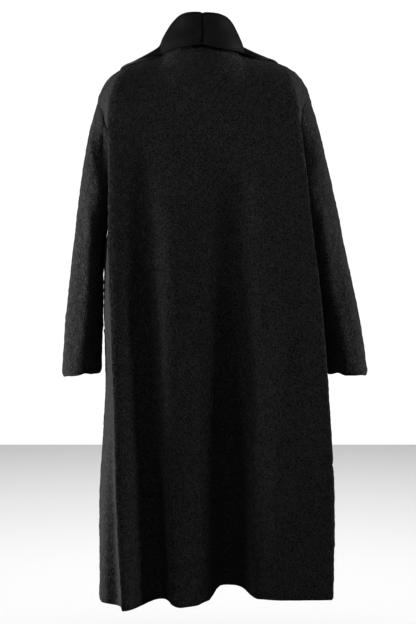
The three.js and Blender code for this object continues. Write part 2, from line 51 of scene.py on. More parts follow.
photoCamera = {
    "place": (-0.0115, 3.13, -0.35),
    "tiltDown": 4.2,  # degrees
    "focalPixels": 1428,
    "imageWidth": 416,
    "sensor": 36,
}
studio = {
    "backdrop": 1.05,  # brightness of the white backdrop behind the coat
    "backdropFrom": 0.86,  # it starts where a direction points this much away from the camera
    "backdropEdge": 12.0,  # above 0, how quickly it comes in
    "room": 0.02,  # and of the dim room round it
    "floorHeight": -1.46,  # the ground under somebody who wears the coat
    "floorSize": 7,
    "floorColour": (0.86, 0.86, 0.86),
    "lights": rows(
        "name place aim size power lights",
        ("left low fill", (2.9, 0.9, -0.7), (0.1, 0.1, -0.6), (0.8, 1.6), 32, "coat"),
        ("left side light", (2.6, 0.15, -1.0), (0.2, 0.1, -0.5), (0.8, 0.8), 235, "coat"),
        ("right back light", (-3.0, -0.4, -0.3), (-0.2, 0.0, -0.4), (0.6, 1.4), 71, "coat"),
        ("right grazing light", (-3.0, 0.5, 0.0), (-0.1, 0.1, -0.3), (0.4, 1.4), 52, "coat"),
        ("right side light", (-3.1, 0.15, -0.4), (-0.2, 0.1, -0.5), (0.8, 2.2), 53, "coat"),
        ("top front light", (0.0, 2.4, 1.6), (0.0, 0.1, -0.4), (2.0, 1.0), 24, "coat"),
        ("top near light", (0.0, 1.3, 0.9), (0.0, 0.1, -0.2), (1.6, 0.5), 5, "coat"),
        ("floor light", (0.0, 0.0, 2.6), (0.0, 0.0, -1.4), (5.0, 5.0), 300, "floor"),
    ),
}


def setCamera():
    camera = bpy.data.cameras.new("photo camera")
    camera.sensor_fit = "HORIZONTAL"
    camera.sensor_width = photoCamera["sensor"]
    camera.lens = photoCamera["sensor"] * photoCamera["focalPixels"] / photoCamera["imageWidth"]
    rig = bpy.data.objects.new("photo camera", camera)
    rig.location = photoCamera["place"]
    rig.rotation_euler = (math.radians(90 - photoCamera["tiltDown"]), 0, math.pi)
    scene.collection.objects.link(rig)
    scene.camera = rig


# The backdrop is white behind the coat, and the room round it is dim.
def setWorld():
    world = bpy.data.worlds.new("white studio")
    shader = Shader(world)
    direction = shader.add("ShaderNodeTexCoord")
    away = 0.0 - shader.add("ShaderNodeSeparateXYZ", None, {"Vector": direction}, "Y")
    share = ((away - studio["backdropFrom"]) * studio["backdropEdge"]).most(0.0).least(1.0)
    strength = studio["room"] + share * (studio["backdrop"] - studio["room"])
    light = shader.add("ShaderNodeBackground", None, {"Color": (1, 1, 1, 1), "Strength": strength})
    shader.add("ShaderNodeOutputWorld", None, {"Surface": light})
    scene.world = world
    scene.view_settings.view_transform = "Standard"


# The coat's lights are kept off the floor, and the floor's own light off the coat.
def setLights(floor):
    links = {}
    for name, state in (("coat", "EXCLUDE"), ("floor", "INCLUDE")):
        links[name] = bpy.data.collections.new("lit with the " + name)
        links[name].objects.link(floor)
        links[name].collection_objects[0].light_linking.link_state = state
    for light in studio["lights"]:
        data = bpy.data.lights.new(light["name"], "AREA")
        data.shape = "RECTANGLE"
        data.size, data.size_y = light["size"]
        data.energy = light["power"]
        lamp = bpy.data.objects.new(light["name"], data)
        lamp.location = light["place"]
        towards = Vector(light["aim"]) - Vector(light["place"])
        lamp.rotation_euler = towards.to_track_quat("-Z", "Y").to_euler()
        lamp.light_linking.receiver_collection = links[light["lights"]]
        scene.collection.objects.link(lamp)


# Shader maths: a Value wraps one output, and arithmetic on it adds Math nodes.

class Value:
    def __init__(self, shader, output):
        self.shader = shader
        self.output = output

    def maths(self, operation, *values):
        return self.shader.add("ShaderNodeMath", {"operation": operation}, dict(enumerate(values)))

    def __add__(self, other):
        return self.maths("ADD", self, other)

    def __radd__(self, other):
        return self.maths("ADD", other, self)

    def __sub__(self, other):
        return self.maths("SUBTRACT", self, other)

    def __rsub__(self, other):
        return self.maths("SUBTRACT", other, self)

    def __mul__(self, other):
        return self.maths("MULTIPLY", self, other)

    def __rmul__(self, other):
        return self.maths("MULTIPLY", other, self)

    def __abs__(self):
        return self.maths("ABSOLUTE", self)

    def most(self, other):
        return self.maths("MAXIMUM", self, other)

    def least(self, other):
        return self.maths("MINIMUM", self, other)


class Shader:
    def __init__(self, owner):  # a material or a world
        owner.use_nodes = True
        self.owner = owner
        self.tree = owner.node_tree
        self.tree.nodes.clear()

    # Adds a node: its settings first, then its sockets by name or number.
    def add(self, kind, settings=None, sockets=None, output=0):
        node = self.tree.nodes.new(kind)
        for name, value in (settings or {}).items():
            setattr(node, name, value)
        for key, value in (sockets or {}).items():
            if isinstance(value, Value):
                self.tree.links.new(value.output, node.inputs[key])
            else:
                node.inputs[key].default_value = value
        return Value(self, node.outputs[output]) if node.outputs else None

    def mixed(self, factor, first, second):
        return self.add("ShaderNodeMix", {"data_type": "RGBA"}, {0: factor, 6: first, 7: second}, 2)

    def vector(self, operation, first, second):
        return self.add("ShaderNodeVectorMath", {"operation": operation}, {0: first, 1: second})

    def noise(self, place, scale, detail=0.0, roughness=0.5, output=0):
        sockets = {"Vector": place, "Scale": scale, "Detail": detail, "Roughness": roughness}
        return self.add("ShaderNodeTexNoise", None, sockets, output)

    def finish(self, sockets):
        surface = self.add("ShaderNodeBsdfPrincipled", None, sockets)
        self.add("ShaderNodeOutputMaterial", None, {"Surface": surface})
        return self.owner


boucleLook = {
    "curls": 185.0,  # yarn curls to a metre
    "tall": 0.8,  # the curls lie a little upright
    "wander": 0.003,  # how far the yarn strays from its path, in metres
    "wanderFiner": 1.3,  # times as fine as the curls
    "sets": rows("shift finer share", (0.0, 1.0, 1.0), (3.7, 1.13, 0.85)),
    "sharp": 7.0,  # how thin the yarn's lines are
    "yarnShare": 0.75,  # of the relief
    "strandShare": 0.35,
    "strandFiner": 5,
    "patchFiner": 0.33,
    "patchy": 0.5,  # how unevenly dark the cloth is
    # deep is painted shade between the curls, and litCrest the curl tops painted as catching the light
    "deep": (0.002, 0.002, 0.0021, 1),  # between the curls
    "litCrest": (0.026, 0.026, 0.027, 1),
    "height": 0.0011,
    "roughness": 0.95,
    "sheen": 0.02,
    "sheenRoughness": 0.45,
    "specular": 0.04,
}


# Two overlapping sets of curls: the yarn follows the level lines of a smooth noise. The colour is painted
# shade between the curls and painted light on their tops, over random darker patches.
def boucleMaterial(name, look):
    shader = Shader(bpy.data.materials.new(name))
    place = shader.add("ShaderNodeTexCoord", output=3)
    upright = shader.add("ShaderNodeMapping", None, {"Vector": place, "Scale": (1, 1, look["tall"])})
    stray = shader.noise(upright, look["curls"] * look["wanderFiner"], 1.0, output=1)
    stray = shader.vector("SUBTRACT", stray, (0.5, 0.5, 0.5))
    stray = shader.vector("MULTIPLY", stray, (look["wander"],) * 3)
    upright = shader.vector("ADD", upright, stray)
    yarn = None
    for curls in look["sets"]:
        moved = shader.vector("ADD", upright, (curls["shift"],) * 3)
        level = shader.noise(moved, look["curls"] * curls["finer"])
        line = (1.0 - abs(level - 0.5) * look["sharp"]).most(0.0) * curls["share"]
        yarn = line if yarn is None else yarn.most(line)
    strand = shader.noise(upright, look["curls"] * look["strandFiner"], 2.0)
    patch = shader.noise(place, look["curls"] * look["patchFiner"], 2.0)
    height = yarn * yarn * look["yarnShare"] + strand * look["strandShare"]
    # tone: painted shade low between the curls and painted light high on their tops, times random patches of
    # the cloth's own tone
    tone = (height * (1 - look["patchy"] / 2 + patch * look["patchy"])).least(1.0)
    bump = shader.add(
        "ShaderNodeBump", None, {"Strength": 1.0, "Distance": look["height"], "Height": height}
    )
    return shader.finish({
        "Base Color": shader.mixed(tone, look["deep"], look["litCrest"]),
        "Roughness": look["roughness"],
        "Sheen Weight": look["sheen"],
        "Sheen Roughness": look["sheenRoughness"],
        "Specular IOR Level": look["specular"],
        "Normal": bump,
    })


smoothLook = {
    "dark": (0.0008, 0.0008, 0.0009, 1),
    "light": (0.0019, 0.0019, 0.0021, 1),
    "weave": 900.0,  # threads to a metre
    "height": 0.0002,
    "clouds": 22.0,  # soft patches to a metre
    "cloudShare": 0.6,  # of the tone
    "roughness": 0.54,  # where it is smoothest
    "roughnessRange": 0.16,
    "sheen": 0.004,
    "sheenRoughness": 0.5,
    "specular": 0.08,
}


def smoothMaterial(name, look):
    shader = Shader(bpy.data.materials.new(name))
    place = shader.add("ShaderNodeTexCoord", output=3)
    nap = shader.noise(place, look["weave"], 2.0)
    cloud = shader.noise(place, look["clouds"], 3.0)
    tone = (nap * (1 - look["cloudShare"]) + cloud * look["cloudShare"]).least(1.0)
    bump = shader.add(
        "ShaderNodeBump", None, {"Strength": 0.6, "Distance": look["height"], "Height": nap}
    )
    return shader.finish({
        "Base Color": shader.mixed(tone, look["dark"], look["light"]),
        "Roughness": look["roughness"] + cloud * look["roughnessRange"],
        "Sheen Weight": look["sheen"],
        "Sheen Roughness": look["sheenRoughness"],
        "Specular IOR Level": look["specular"],
        "Normal": bump,
    })


# The cut's sizes, which every piece is worked out from

cloth = {
    "thick": 3.0,
    "seamGap": 0.3,
    "edgeRound": 1.2,
    "coarseLumps": 34,  # sizes of the curls' own unevenness
    "fineLumps": 9.5,
}
body = {
    "hem": -1200,
    "underarm": -330,
    "yoke": -165,  # the cloth starts to turn over the shoulders here
    "yokeShare": 0.76,  # share of a panel's height below the yoke
    "neckHalf": 75,
    "neckBack": 62,
    "neckSideZ": -8,
    "shoulderPull": 2.8,  # above 0 draws the back's columns out along the shoulder line
    "armholeDepth": 66,
    "armholeHollow": 13,
    "armholeLean": 1.6,  # above 1 keeps the armhole's lower part upright
    "parting": 60,  # height over which back and front part above the underarm
    "creaseFade": 60,  # distance from the side plane over which the creases fade in
    "foldRoll": 9,  # radius of the fold down each side of the back
    "hemReach": 240,  # height over which the hem's turns fade
}
sections = {
    "left": rows(
        "z fold foldY hollow hollowY second secondY side",
        (-1200, 171, 149, 181, 110, 219, 97, 226),
        (-980, 182, 148, 188, 108, 212, 86, 228),
        (-760, 186, 144, 191, 104, 201, 66, 213),
        (-560, 193, 138, 197, 98, 208, 60, 215.5),
        (-430, 196, 134, 197, 95, 204, 56, 211),
        (-330, 195, 130, 190, 92, 187, 52, 190),
        (-250, 195, 125, 187, 98, 181, 76, 186),
        (-165, 198, 113, 204, 86, 207, 69, 200),
    ),
    "right": rows(
        "z fold foldY hollow hollowY second secondY side",
        (-1200, 276, 112, 275, 75, 272, 42, 264),
        (-980, 277, 118, 276, 80, 276, 45, 268),
        (-760, 264, 124, 263, 85, 260, 48, 251),
        (-560, 248, 128, 247, 88, 241, 50, 233),
        (-430, 232, 129, 229, 90, 220, 52, 210),
        (-330, 220, 128, 208, 92, 194, 52, 191),
        (-250, 211, 124, 196, 98, 184, 76, 187),
        (-165, 201, 113, 206, 86, 209, 69, 202),
    ),
}
backMiddle = rows(
    "z y",
    (-1200, 118), (-980, 124), (-760, 130), (-560, 134), (-430, 133), (-330, 129), (-250, 124), (-165, 114),
)
frontSections = {
    "left": rows(
        "z corner frontY edge",
        (-1200, 214, 150, 32),
        (-980, 216, 150, 25),
        (-760, 204, 146, 19),
        (-560, 198, 140, 16),
        (-430, 194, 136, 28),
        (-330, 182, 131, 42),
        (-250, 176, 124, 52),
        (-165, 172, 110, 64),
    ),
    "right": rows(
        "z corner frontY edge",
        (-1200, 236, 146, 27),
        (-980, 238, 146, 22),
        (-760, 228, 143, 18),
        (-560, 212, 138, 16),
        (-430, 198, 135, 28),
        (-330, 182, 131, 42),
        (-250, 176, 124, 52),
        (-165, 172, 110, 64),
    ),
}
shoulders = {
    "left": rows(
        "share x z",
        (0, 75, -8), (0.38, 137, -37), (0.62, 176, -54), (0.82, 206, -77), (0.92, 220, -101), (1, 229, -125),
    ),
    "right": rows(
        "share x z",
        (0, 75, -8), (0.38, 137, -33), (0.62, 178, -47), (0.82, 208, -69), (0.92, 223, -91), (1, 233, -112),
    ),
}
backFolds = rows(
    "name hemX topX plus minus flat deep faded full",
    ("left trough", 112, 130, 62, 56, 0, 30, -170, -900),
    ("ridge wall", 84, 92, 56, 18, 0, 22, -800, -1200),
    ("centre hollow", -52, -58, 112, 120, 0, 34, -180, -900),
    ("centre groove", -56, -58, 46, 60, 0.22, 46, -480, -1200),
)
frontFolds = rows(
    "name hemX topX plus minus flat deep faded full",
    ("left front fall", 148, 120, 46, 60, 0, 44, -420, -1200),
    ("left edge fall", 66, 74, 34, 32, 0, 20, -640, -1200),
    ("right front fall", -118, -96, 50, 54, 0, 50, -480, -1200),
    ("right side fall", -196, -150, 34, 36, 0, 22, -560, -1200),
)
hemTurns = rows(
    "name x plus minus flat rise",
    ("left side dip", 162, 62, 60, 0, -7),
    ("trough rise", 76, 48, 12, 0, 6),
    ("ridge dip", 32, 38, 44, 0.4, -7),
    ("groove rise", -56, 44, 66, 0.4, 21),
    ("right rise", -195, 110, 130, 0.6, 7),
)


def clamp(value):
    return min(1.0, max(0.0, value))


def smooth(value):
    value = clamp(value)
    return value * value * (3 - 2 * value)


def mix(first, second, share):
    return first + (second - first) * share


# One column of a table at a place, on a smooth curve through the rows and straight past the ends.
def lookUp(table, key, column, place):
    if table[0][key] > table[-1][key]:
        table = table[::-1]
    i = 0
    while i < len(table) - 2 and place > table[i + 1][key]:
        i += 1

    def tangent(k):
        low, high = table[max(0, k - 1)], table[min(len(table) - 1, k + 1)]
        return (high[column] - low[column]) / (high[key] - low[key])

    start, end = table[i], table[i + 1]
    span = end[key] - start[key]
    t = (place - start[key]) / span
    if t < 0:
        return start[column] + tangent(i) * (place - start[key])
    if t > 1:
        return end[column] + tangent(i + 1) * (place - end[key])
    bend = (2 * t - 3) * t * t
    slopes = tangent(i) * (t - 1) + tangent(i + 1) * t
    return start[column] * (1 + bend) - end[column] * bend + span * t * (t - 1) * slopes


# A smooth curve through points, with u counting points from 0.
def curveThrough(points, u):
    last = len(points) - 1
    i = min(last - 1, max(0, math.floor(u)))
    t = u - i
    b, c = points[i], points[i + 1]
    a = points[i - 1] if i else b * 2 - c
    d = points[i + 2] if i < last - 1 else c * 2 - b
    return b + (c - a + (a * 2 - b * 5 + c * 4 - d + ((b - c) * 3 + d - a) * t) * t) * (0.5 * t)


def sideOf(sign):
    return "left" if sign > 0 else "right"


def foldDepth(folds, x, z):
    depth = 0
    for fold in folds:
        climb = clamp((z - body["hem"]) / (fold["faded"] - body["hem"]))
        off = x - mix(fold["hemX"], fold["topX"], climb)
        share = abs(off) / (fold["plus"] if off > 0 else fold["minus"])
        if share < 1:
            grown = smooth((fold["faded"] - z) / (fold["faded"] - fold["full"]))
            depth += fold["deep"] * grown * (1 - smooth((share - fold["flat"]) / (1 - fold["flat"])))
    return depth


def hemTurn(x, z):
    near = smooth(1 - (z - body["hem"]) / body["hemReach"])
    if not near:
        return 0
    rise = 0
    for turn in hemTurns:
        off = x - turn["x"]
        share = abs(off) / (turn["plus"] if off > 0 else turn["minus"])
        rise += turn["rise"] * near * (1 - smooth((share - turn["flat"]) / (1 - turn["flat"])))
    return rise


# The side seam, and above the underarm the armhole's edge. facing is 1 behind and -1 in front.
def seamAt(sign, z, facing):
    tip = shoulders[sideOf(sign)][-1]
    side = lookUp(sections[sideOf(sign)], "z", "side", min(z, body["underarm"]))
    gap = cloth["seamGap"] / 2
    if z <= body["underarm"]:
        return Vector((sign * side, facing * gap, z))
    middle = (tip["z"] + body["underarm"]) / 2
    round_ = math.sqrt(max(0, 1 - ((z - middle) / (tip["z"] - middle)) ** 2))
    up = (z - body["underarm"]) / (tip["z"] - body["underarm"])
    x = mix(side, tip["x"], up ** body["armholeLean"]) - body["armholeHollow"] * round_ ** 2
    return Vector((sign * x, facing * (body["armholeDepth"] * round_ + gap), z))


def backControls(sign, z):
    fold, foldY, hollow, hollowY, second, secondY = (
        lookUp(sections[sideOf(sign)], "z", column, z)
        for column in ("fold", "foldY", "hollow", "hollowY", "second", "secondY")
    )
    midY = lookUp(backMiddle, "z", "y", z)
    roll = body["foldRoll"]
    places = [
        (0, midY),
        (0.48 * fold, mix(midY, foldY, 0.42)),
        (fold - roll, foldY),
        (fold, foldY - roll * 0.75),
        (hollow, hollowY),
        (second, secondY),
    ]
    return [Vector((sign * x, y, z)) for x, y in places] + [seamAt(sign, z, 1)]


def frontControls(sign, z):
    corner, frontY, edge = (
        lookUp(frontSections[sideOf(sign)], "z", column, z) for column in ("corner", "frontY", "edge")
    )
    seam = seamAt(sign, z, -1)
    places = [
        (mix(abs(seam.x), corner, 0.35), mix(seam.y, -frontY, 0.46)),
        (corner, mix(seam.y, -frontY, 0.86)),
        (mix(corner, edge, 0.26), -frontY),
        (mix(corner, edge, 0.64), -frontY - 5),
        (edge, -frontY - 2),
    ]
    return [seam] + [Vector((sign * x, y, z)) for x, y in places]


# Whole rows of control points, each with the neighbour's first point so that the cloth runs
# smoothly across the side seam.
@functools.lru_cache(maxsize=None)
def backRow(sign, z):
    back, front = backControls(sign, z), frontControls(sign, z)
    parted = smooth((z - body["underarm"]) / body["parting"])
    beyond = front[1].lerp(back[6] * 2 - back[5], parted)
    across = Vector((-back[1].x, back[1].y, back[1].z))
    return [across, *back, beyond]


@functools.lru_cache(maxsize=None)
def frontRow(sign, z):
    back, front = backControls(sign, z), frontControls(sign, z)
    parted = smooth((z - body["underarm"]) / body["parting"])
    before = back[5].lerp(front[0] * 2 - front[1], parted)
    return [before, *front]


backParts, frontParts = 6, 5  # stretches between the control points of half the back and of a front
neckShare = 1 / backParts  # the neck takes the columns before the first control point


def heightOf(h):
    return mix(body["hem"], body["yoke"], h / body["yokeShare"])


# Over the shoulder a panel turns along a quarter of an oval up to its top edge.
def overShoulder(base, top, h):
    turn = (h - body["yokeShare"]) / (1 - body["yokeShare"]) * math.pi / 2
    return Vector((
        mix(base.x, top.x, math.sin(turn) ** 2),
        mix(top.y, base.y, math.cos(turn)),
        mix(base.z, top.z, math.sin(turn)),
    ))


@functools.lru_cache(maxsize=None)
def shoulderLine(sign, share, facing):
    table = shoulders[sideOf(sign)]
    x, z = lookUp(table, "share", "x", share), lookUp(table, "share", "z", share)
    return Vector((sign * x, facing * cloth["seamGap"] / 2, z))


# The share of the shoulder line at a share of the back's columns outside the neck, and the
# other way round.
def lineAt(column):
    return column * (1 + body["shoulderPull"]) / (1 + body["shoulderPull"] * column)


def columnAt(line):
    return line / (1 + body["shoulderPull"] * (1 - line))


def backTop(sign, share):
    if share > neckShare:
        return shoulderLine(sign, lineAt((share - neckShare) / (1 - neckShare)), 1)
    turn = share / neckShare * math.pi / 2
    low = body["neckSideZ"] * (1 - math.cos(turn))
    y = body["neckBack"] * math.cos(turn) + cloth["seamGap"] / 2
    return Vector((sign * body["neckHalf"] * math.sin(turn), y, low))


# Points of the panels. share runs over half the back from its middle to the seam, or over a
# front from the seam to its edge, and h from the hem to the top.
def backPoint(sign, share, h):
    z = min(heightOf(h), body["yoke"])
    point = curveThrough(backRow(sign, z), share * backParts + 1)
    point.y -= foldDepth(backFolds, point.x, z)
    point.z += hemTurn(point.x, z)
    return overShoulder(point, backTop(sign, share), h) if h > body["yokeShare"] else point


def frontPoint(sign, share, h):
    z = min(heightOf(h), body["yoke"])
    point = curveThrough(frontRow(sign, z), share * frontParts + 1)
    point.y += foldDepth(frontFolds, point.x, z)
    point.z += hemTurn(point.x, z) * 0.5
    return overShoulder(point, shoulderLine(sign, 1 - share, -1), h) if h > body["yokeShare"] else point


def normalOf(surface, u, v):
    near = 1e-3
    alongU = surface(u + near, v) - surface(u - near, v)
    alongV = surface(u, v + near) - surface(u, v - near)
    return alongU.cross(alongV).normalized()


# Soft creases and ridges, each a stroke from one place to another. deep is positive
# for a trough and negative for a ridge.

def strokeDepth(strokes, a, b):
    depth = 0
    for stroke in strokes:
        fromA, fromB, toA, toB = stroke["fromA"], stroke["fromB"], stroke["toA"], stroke["toB"]
        if abs(b - (fromB + toB) / 2) > abs(toB - fromB) / 2 + stroke["wide"]:
            continue
        runA, runB = toA - fromA, toB - fromB
        along = clamp(((a - fromA) * runA + (b - fromB) * runB) / (runA * runA + runB * runB))
        off = math.hypot(a - fromA - runA * along, b - fromB - runB * along)
        ends = smooth(along / 0.3) * smooth((1 - along) / 0.3)
        depth += stroke["deep"] * ends * (1 - smooth(off / stroke["wide"]))
    return depth


# The cloth's own unevenness: the curls make the surface and its outline a little lumpy.
def lumps(point, amount):
    coarse = noise.noise(point * (1 / cloth["coarseLumps"]))
    fine = noise.noise(point * (1 / cloth["fineLumps"]) + Vector((7.3, 1.9, 4.4)))
    return amount * (coarse * 0.9 + fine * 1.1)


# A piece of cloth: a grid whose points follow a surface, given relief along its normals and
# edges that roll in where they are sewn, then a wall of the cloth's thickness. sewn and rolled
# hold an end, how far it goes in, and over what reach.
def makeCloth(name, surface, us, vs, looks, relief=None, sewn=(), rolled=(), tube=False, lumpy=1.0):
    bm = bmesh.new()
    wide, high = len(us) - 1, len(vs) - 1
    bmesh.ops.create_grid(bm, x_segments=wide, y_segments=high, size=0.5)
    places = {}
    for vert in bm.verts:
        u, v = us[round((vert.co.x + 0.5) * wide)], vs[round((vert.co.y + 0.5) * high)]
        vert.co = surface(u, v)
        places[vert] = (u, v)
    if tube:
        bmesh.ops.remove_doubles(bm, verts=bm.verts, dist=1e-4)
    bm.normal_update()
    ends = {"uLow": (0, us[0]), "uHigh": (0, us[-1]), "vLow": (1, vs[0]), "vHigh": (1, vs[-1])}
    moves = {}
    for vert in bm.verts:
        u, v = places[vert]
        push = lumps(vert.co, lumpy)
        if relief:
            push -= relief(u, v, vert.co)
        for end, depth, reach in (*sewn, *rolled):
            axis, value = ends[end]
            border = surface(value, v) if axis == 0 else surface(u, value)
            off = (vert.co - border).length / reach
            if off < 3:
                push -= depth * math.exp(-off * off)
        moves[vert] = vert.normal * push
    for vert, move in moves.items():
        vert.co = (vert.co + move) * metre
    for face in bm.faces:
        face.smooth = True
    mesh = bpy.data.meshes.new(name)
    bm.to_mesh(mesh)
    bm.free()
    piece = bpy.data.objects.new(name, mesh)
    scene.collection.objects.link(piece)
    for look in looks:
        mesh.materials.append(look)
    wall = piece.modifiers.new("cloth thickness", "SOLIDIFY")
    wall.thickness = cloth["thick"] * metre
    wall.offset = 0
    wall.material_offset = 1
    wall.thickness_clamp = 0
    edge = piece.modifiers.new("soft edge", "BEVEL")
    edge.width = cloth["edgeRound"] * metre
    edge.segments = 2
    edge.limit_method = "ANGLE"
    edge.angle_limit = math.radians(60)
    print("made", name, "with", len(mesh.polygons), "faces")
    return piece


def spread(*steps):
    total = [0.0]
    for part, count in enumerate(steps):
        total += [part + (k + 1) / count for k in range(count)]
    return [value / len(steps) for value in total]


def even(count, start=0.0, end=1.0):
    return [mix(start, end, k / count) for k in range(count + 1)]


underarmShare = (body["underarm"] - body["hem"]) / (body["yoke"] - body["hem"]) * body["yokeShare"]


def armholeShare(angle):
    return mix(underarmShare, 1, (1 + math.cos(angle)) / 2)


def panelRows(skirt, arm):
    return even(skirt, 0, underarmShare) + [armholeShare(math.pi * (1 - k / arm)) for k in range(1, arm + 1)]


def dress(piece, node, slot, **sheet):
    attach(piece, "root")
    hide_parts(node)


# Back: one panel, with no seam down its middle

backPiece = {
    "columns": (17, 16, 5, 7, 8, 11),
    "skirtRows": 176,
    "armRows": 70,
    "cut": (0.98, 1.235),
    "area": 0.9,
    "creases": rows(
        "fromA fromB toA toB wide deep",  # x and z
        (134, -150, 128, -760, 50, 7.0),
        (66, -260, 66, -900, 34, -2.5),
        (-54, -170, -58, -760, 72, 7.0),
        (-122, -220, -124, -700, 40, -2.5),
        (-196, -300, -214, -900, 40, 2.0),
        (20, -640, 12, -1190, 30, -2.0),
        (-150, -620, -160, -1190, 50, -2.0),
    ),
}


def backRelief(u, v, point):
    return strokeDepth(backPiece["creases"], point.x, point.z) * clamp(point.y / body["creaseFade"])


def makeBack(looks):
    half = spread(*backPiece["columns"])
    across = [-share for share in reversed(half[1:])] + half
    # From the left seam to the right one, so that the outside faces +Y.
    piece = makeCloth(
        "cloth_back",
        lambda u, v: backPoint(1 if u < 0 else -1, abs(u), v),
        across,
        panelRows(backPiece["skirtRows"], backPiece["armRows"]),
        looks,
        backRelief,
        sewn=(("uLow", 1.6, 6), ("uHigh", 1.6, 6), ("vHigh", 1.4, 6)),
        rolled=(("vLow", -0.9, 22), ("vLow", 2.6, 4)),
    )
    dress(
        piece, "back", "boucle",
        flat=backPiece["cut"], area=backPiece["area"], held="hung",
        rests_on=["collar_left", "collar_right", "front_left", "front_right"],
    )
    return piece


# Fronts: open all the way down, and cut away from the break point up to the neck

frontPiece = {
    "columns": (14, 13, 9, 14, 12),
    "skirtRows": 176,
    "armRows": 70,
    "cut": (0.44, 1.235),
    "area": 0.36,
    "creases": rows(
        "fromA fromB toA toB wide deep",  # x and z, on both fronts
        (112, -190, 96, -520, 40, 3.0),
        (60, -480, 46, -900, 36, -2.5),
        (150, -300, 168, -760, 38, -3.0),
        (100, -760, 106, -1190, 34, 2.5),
    ),
}


def frontRelief(u, v, point):
    side = abs(point.x)
    return strokeDepth(frontPiece["creases"], side, point.z) * clamp(-point.y / body["creaseFade"])


# A surface on a front, turned so that its outside faces forward on either side.
def onFront(sign, point):
    return lambda u, v: point(sign, 1 - u if sign > 0 else u, v)


def turned(sign, steps):
    return [1 - u for u in reversed(steps)] if sign > 0 else steps


def makeFront(sign, looks):
    seam, edge = ("uHigh", "uLow") if sign > 0 else ("uLow", "uHigh")
    piece = makeCloth(
        f"cloth_front_{sideOf(sign)}",
        onFront(sign, frontPoint),
        turned(sign, spread(*frontPiece["columns"])),
        panelRows(frontPiece["skirtRows"], frontPiece["armRows"]),
        looks,
        frontRelief,
        sewn=((seam, 1.6, 6), ("vHigh", 1.4, 6)),
        rolled=(("vLow", -0.9, 22), (edge, -0.8, 16)),
    )
    dress(
        piece, f"front_{sideOf(sign)}", "boucle",
        flat=frontPiece["cut"], area=frontPiece["area"], held="hung", rests_on=["back"],
    )
    return piece


# Sleeves: one piece each, set into the dropped armhole

sleevePiece = {
    "around": 84,
    "rows": 130,
    "cut": (0.46, 0.56),
    "area": 0.172,
    "rings": {
        "left": rows(
            "t outX outZ inX inZ midY deep",
            (0, 231, -124, 194, -330, 0, 66),
            (0.16, 249, -206, 204, -372, 0, 67),
            (0.36, 267, -320, 215.5, -432, -2, 64),
            (0.56, 283, -446, 220, -510, -6, 60),
            (0.76, 298, -568, 221, -594, -12, 56),
            (0.91, 307, -664, 225, -670, -18, 53),
            (1, 310, -719, 227, -713, -21, 52),
        ),
        "right": rows(
            "t outX outZ inX inZ midY deep",
            (0, 236, -109, 196, -330, 0, 66),
            (0.16, 259, -212, 212, -374, 0, 67),
            (0.36, 286, -326, 228, -434, -2, 64),
            (0.56, 312, -450, 243, -512, -6, 60),
            (0.76, 339, -568, 257, -596, -12, 56),
            (0.91, 356, -662, 269, -672, -18, 53),
            (1, 363, -716, 274, -715, -21, 52),
        ),
    },
    "square": 0.14,  # above 0 makes the section boxier
    "blend": 0.16,  # share over which the sleeve leaves the armhole's outline
    "arc": 62,  # millimetres for one radian round the sleeve, in the creases below
    "length": 620,
    "notches": {"left": 1.84, "right": 2.02},  # radians round the sleeve
    "notchWide": 0.24,
    "notchRise": 6.0,
    "cuffWaves": rows("count start rise", (5, 1, 0.9), (9, 0, 0.5)),  # start is a share of the notch's angle
    "cuffDrop": 1.5,
    "cuffShare": 0.1,  # of the sleeve's length, over which the waves grow
    "tuck": 1.4,  # how far the sleeve goes under the panels at the shoulder
    "creases": rows(
        "fromA fromB toA toB wide deep",  # round from the top and down from the shoulder
        (132, 30, 97, 290, 34, -4.5),
        (98, 170, 118, 440, 34, -4.5),
        (117, 330, 98, 640, 32, -4.5),
        (150, 330, 146, 640, 26, 2.5),
        (64, 120, 52, 420, 40, 1.0),
        (-110, 80, -80, 330, 26, 2.2),
        (-150, 260, -60, 350, 22, 1.8),
        (-60, 380, -70, 600, 24, -1.6),
        (-20, 330, -14, 600, 26, 1.4),
    ),
}


@functools.lru_cache(maxsize=None)
def sleeveRow(sign, t):
    table = sleevePiece["rings"][sideOf(sign)]
    columns = ("outX", "outZ", "inX", "inZ", "midY", "deep")
    return {column: lookUp(table, "t", column, t) for column in columns}


# angle is 0 at the shoulder's tip, a quarter turn at the back and half a turn at the underarm.
def sleeveRing(sign, angle, t):
    row = sleeveRow(sign, t)

    def square(value):
        return value * (1 + sleevePiece["square"] * (1 - value * value))

    along = (1 + square(math.cos(angle))) / 2
    return Vector((
        sign * mix(row["inX"], row["outX"], along),
        row["midY"] + row["deep"] * square(math.sin(angle)),
        mix(row["inZ"], row["outZ"], along),
    ))


@functools.lru_cache(maxsize=None)
def sleeveLead(sign, angle):
    h = armholeShare(angle)
    start = backPoint(sign, 1, h) if math.sin(angle) >= 0 else frontPoint(sign, 0, h)
    under = (1 - math.cos(angle)) / 2
    start.x += sign * mix(-sleevePiece["tuck"], cloth["thick"] / 2, smooth(under * 2.5))
    start.z += mix(sleevePiece["tuck"], 0, under)
    return start - sleeveRing(sign, angle, 0)


# The cuff's edge isn't level: it turns up at a notch behind, and waves a little elsewhere.
def cuffTurn(sign, angle):
    notch = sleevePiece["notches"][sideOf(sign)]
    off = math.atan2(math.sin(angle - notch), math.cos(angle - notch)) / sleevePiece["notchWide"]
    rise = sleevePiece["notchRise"] * math.exp(-off * off) - sleevePiece["cuffDrop"]
    for wave in sleevePiece["cuffWaves"]:
        rise += math.sin(angle * wave["count"] + notch * wave["start"]) * wave["rise"]
    return rise


def sleevePoint(sign, angle, t):
    point = sleeveRing(sign, angle, t) + sleeveLead(sign, angle) * smooth(1 - t / sleevePiece["blend"])
    point.z += cuffTurn(sign, angle) * smooth(1 - (1 - t) / sleevePiece["cuffShare"])
    return point


